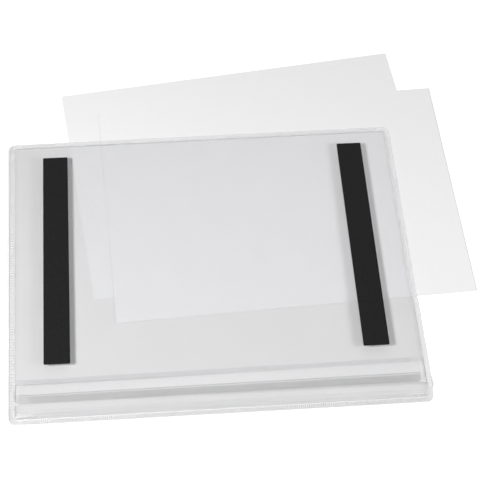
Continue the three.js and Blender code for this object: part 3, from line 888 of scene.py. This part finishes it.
CARD_STEP = 6 * MM
CARD_CURL = 0.9 * MM
CURL_START = 15 * MM  # from the pouch's edge
CURL_LENGTH = 90 * MM
CURL_LIMIT = 1.2  # in curl lengths
LEFT_EDGE = 0.18 * MM  # how wide the painted shade at the upper card's cut ends is
RIGHT_EDGE = 0.35 * MM


def card_corners(node):
    """Three corners of a turned card: the nearest to the front, then its neighbours on the right and on
    the left."""
    points = np.array([v.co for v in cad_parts[node].data.vertices])[:, :2]
    return points[points[:, 1].argmin()], points[points[:, 0].argmax()], points[points[:, 0].argmin()]


def card_sheet(layer):
    node = f"card_{layer}"
    low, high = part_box(node)
    corner, right, left = card_corners(node)
    size = np.linalg.norm(right - corner), np.linalg.norm(left - corner)
    u = np.concatenate([[0], spaced(LEFT_EDGE, size[0] - RIGHT_EDGE, CARD_STEP), [size[0]]]) / size[0]
    u, v = np.meshgrid(u, spaced(0, size[1], CARD_STEP) / size[1])
    x = corner[0] + u * (right - corner)[0] + v * (left - corner)[0]
    y = corner[1] + u * (right - corner)[1] + v * (left - corner)[1]
    lift = np.zeros(x.shape)
    if layer == "upper":
        outside = np.maximum(np.maximum(x - FRONT_HIGH.x, y - FRONT_HIGH.y) - CURL_START, 0)
        lift += CARD_CURL * np.minimum(outside / CURL_LENGTH, CURL_LIMIT) ** 2
    top = np.stack([x, y, high.z + lift], 2)
    bottom = np.stack([x, y, low.z + lift], 2)
    # The upper card's end columns take the painted edge shade
    dark_columns = (0, -1) if layer == "upper" else ()
    return shell(f"{node}_sheet", top, bottom, [card_white, card_edge_shade], {}, dark_columns)


for layer in ("upper", "lower"):
    card = card_sheet(layer)
    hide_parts(f"card_{layer}")
    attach(card, f"{layer}_card")


# Magnet strips, with softened edges, and the tape under them

MAGNET_BEVEL = 0.25 * MM
BEVEL_SEGMENTS = 3
BEVEL_FROM_DEGREES = 60  # edges that turn by more than this are rounded off
MERGE_DISTANCE = 0.001 * MM
FLAT_DEGREES = 1  # faces that turn by less than this are joined


def softened(node, name, bevel, material):
    """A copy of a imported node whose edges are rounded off."""
    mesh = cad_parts[node].data.copy()
    mesh.name = name
    edit = bmesh.new()
    edit.from_mesh(mesh)
    bmesh.ops.remove_doubles(edit, verts=edit.verts, dist=MERGE_DISTANCE)
    flat = math.radians(FLAT_DEGREES)
    bmesh.ops.dissolve_limit(edit, angle_limit=flat, verts=edit.verts, edges=edit.edges)
    sharp = [edge for edge in edit.edges if edge.calc_face_angle(0) > math.radians(BEVEL_FROM_DEGREES)]
    bmesh.ops.bevel(edit, geom=sharp, offset=bevel, segments=BEVEL_SEGMENTS, profile=0.5, affect="EDGES")
    edit.to_mesh(mesh)
    edit.free()
    mesh.materials.clear()
    mesh.materials.append(material)
    mesh.shade_smooth()
    mesh.set_sharp_from_angle(angle=math.radians(SHARP_DEGREES))
    piece = bpy.data.objects.new(name, mesh)
    bpy.context.scene.collection.objects.link(piece)
    return piece


def dress(node, material):
    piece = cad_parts[node]
    piece.data.materials.clear()
    piece.data.materials.append(material)


for side in ("left", "right"):
    magnet = softened(f"magnet_{side}", f"magnet_{side}_strip", MAGNET_BEVEL, magnet_black)
    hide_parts(f"magnet_{side}")
    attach(magnet, "holder")
    dress(f"tape_{side}", tape_white)


# Stage

def add_floor():
    """A pale floor that is white where it is seen bare. Through the films it shows its own colour."""
    material, nodes, links, output = new_material("floor_white")
    surface = nodes.new("ShaderNodeBsdfDiffuse")
    surface.inputs["Color"].default_value = (*FLOOR_COLOUR, 1)
    path = nodes.new("ShaderNodeLightPath")
    bare = add_math(nodes, links, "LESS_THAN", path.outputs["Transparent Depth"], BARE_DEPTH)
    seen = add_math(nodes, links, "MULTIPLY", path.outputs["Is Camera Ray"], bare)
    seen = add_math(nodes, links, "MAXIMUM", seen, path.outputs["Is Glossy Ray"])
    seen = add_math(nodes, links, "MAXIMUM", seen, path.outputs["Is Transmission Ray"])
    glow = nodes.new("ShaderNodeEmission")
    links.new(add_math(nodes, links, "MULTIPLY", seen, FLOOR_WHITENING), glow.inputs["Strength"])
    both = nodes.new("ShaderNodeAddShader")
    links.new(surface.outputs[0], both.inputs[0])
    links.new(glow.outputs[0], both.inputs[1])
    links.new(both.outputs[0], output.inputs["Surface"])
    half = FLOOR_SIZE / 2
    corners = [(x * half, y * half, FLOOR_Z) for x, y in ((-1, -1), (1, -1), (1, 1), (-1, 1))]
    add_mesh("floor", corners, [(0, 1, 2, 3)], [material])


def add_lamp(name, lamp):
    """A round lamp that points at the middle of the frame."""
    light = bpy.data.lights.new(name, "AREA")
    light.shape = "DISK"
    light.size = lamp["size"]
    light.energy = lamp["power"]
    light.use_shadow = lamp["shadow"]
    stand = bpy.data.objects.new(name, light)
    stand.location = lamp["place"]
    stand.rotation_euler = (-Vector(lamp["place"])).to_track_quat("-Z", "Y").to_euler()
    stand.visible_camera = False
    bpy.context.scene.collection.objects.link(stand)


def add_sky():
    """A dim even sky that is white where it is seen."""
    world = bpy.data.worlds.new("studio")
    bpy.context.scene.world = world
    world.use_nodes = True
    nodes, links = world.node_tree.nodes, world.node_tree.links
    nodes.clear()
    path = nodes.new("ShaderNodeLightPath")
    seen = add_math(nodes, links, "MAXIMUM", path.outputs["Is Camera Ray"], path.outputs["Is Glossy Ray"])
    seen = add_math(nodes, links, "MAXIMUM", seen, path.outputs["Is Transmission Ray"])
    sky = nodes.new("ShaderNodeBackground")
    sky.inputs["Strength"].default_value = SKY_LIGHT
    white = nodes.new("ShaderNodeBackground")
    white.inputs["Strength"].default_value = 1.0
    pick = nodes.new("ShaderNodeMixShader")
    output = nodes.new("ShaderNodeOutputWorld")
    links.new(seen, pick.inputs["Fac"])
    links.new(sky.outputs[0], pick.inputs[1])
    links.new(white.outputs[0], pick.inputs[2])
    links.new(pick.outputs[0], output.inputs["Surface"])


def add_camera():
    lens = bpy.data.cameras.new("camera")
    lens.sensor_width = SENSOR_WIDTH
    lens.lens = FOCAL_PIXELS / PHOTO_PIXELS * SENSOR_WIDTH
    camera = bpy.data.objects.new("camera", lens)
    camera.location = CAMERA_PLACE
    camera.rotation_euler = [math.radians(a) for a in CAMERA_TURN]
    bpy.context.scene.collection.objects.link(camera)
    bpy.context.scene.camera = camera


add_floor()
add_lamp("left_lamp", LEFT_LAMP)
add_lamp("right_lamp", RIGHT_LAMP)
add_lamp("back_lamp", BACK_LAMP)
add_sky()
add_camera()
bpy.context.scene.view_settings.view_transform = "Standard"
bpy.context.scene.cycles.transparent_max_bounces = FILM_CROSSINGS
